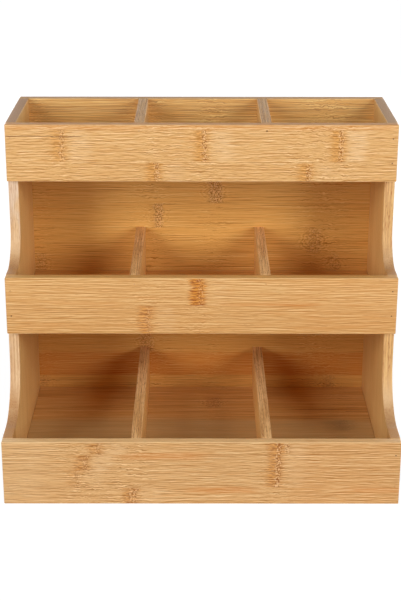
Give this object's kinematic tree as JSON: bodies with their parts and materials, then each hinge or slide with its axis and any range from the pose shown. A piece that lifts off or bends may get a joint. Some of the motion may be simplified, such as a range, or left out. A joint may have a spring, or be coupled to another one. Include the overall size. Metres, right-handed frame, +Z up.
{
  "type": "tea storage rack",
  "caption": "Stepped bamboo counter rack with open trays split into compartments for tea bags, scooped side boards and low front boards.",
  "frame": {"origin": "on the ground under the middle of the rack's bounding box", "axes": "+Z up, the front boards face -Y, +X to the viewer's right when facing the front"},
  "size_m": [0.305, 0.203, 0.276],
  "materials": {
    "bamboo_front": "satin lacquered bamboo, pale honey",
    "bamboo_body": "satin lacquered bamboo, warm honey brown",
    "brad_steel": "dull oxidised steel"
  },
  "bodies": {
    "root": {"side_left": "bamboo_body", "side_right": "bamboo_body", "back_panel": "bamboo_body", "front_bottom": "bamboo_front", "front_middle": "bamboo_front", "front_top": "bamboo_front", "shelf_bottom": "bamboo_body", "shelf_middle": "bamboo_body", "shelf_top": "bamboo_body", "divider_bottom_left": "bamboo_body", "divider_bottom_right": "bamboo_body", "divider_middle_left": "bamboo_body", "divider_middle_right": "bamboo_body", "divider_top_left": "bamboo_body", "divider_top_right": "bamboo_body", "brad_front_bottom_left_upper": "brad_steel", "brad_front_bottom_left_lower": "brad_steel", "brad_front_bottom_right_upper": "brad_steel", "brad_front_bottom_right_lower": "brad_steel", "brad_front_middle_left_upper": "brad_steel", "brad_front_middle_left_lower": "brad_steel", "brad_front_middle_right_upper": "brad_steel", "brad_front_middle_right_lower": "brad_steel", "brad_front_top_left_upper": "brad_steel", "brad_front_top_left_lower": "brad_steel", "brad_front_top_right_upper": "brad_steel", "brad_front_top_right_lower": "brad_steel", "brad_divider_bottom_left": "brad_steel", "brad_divider_bottom_right": "brad_steel", "brad_divider_middle_left": "brad_steel", "brad_divider_middle_right": "brad_steel", "brad_divider_top_left": "brad_steel", "brad_divider_top_right": "brad_steel", "brad_shelf_bottom_left_front": "brad_steel", "brad_shelf_bottom_left_rear": "brad_steel", "brad_shelf_bottom_right_front": "brad_steel", "brad_shelf_bottom_right_rear": "brad_steel", "brad_shelf_middle_left_front": "brad_steel", "brad_shelf_middle_left_rear": "brad_steel", "brad_shelf_middle_right_front": "brad_steel", "brad_shelf_middle_right_rear": "brad_steel", "brad_shelf_top_left_front": "brad_steel", "brad_shelf_top_left_rear": "brad_steel", "brad_shelf_top_right_front": "brad_steel", "brad_shelf_top_right_rear": "brad_steel", "brad_back_left_lower": "brad_steel", "brad_back_left_middle": "brad_steel", "brad_back_left_upper": "brad_steel", "brad_back_right_lower": "brad_steel", "brad_back_right_middle": "brad_steel", "brad_back_right_upper": "brad_steel"}
  },
  "joints": []
}
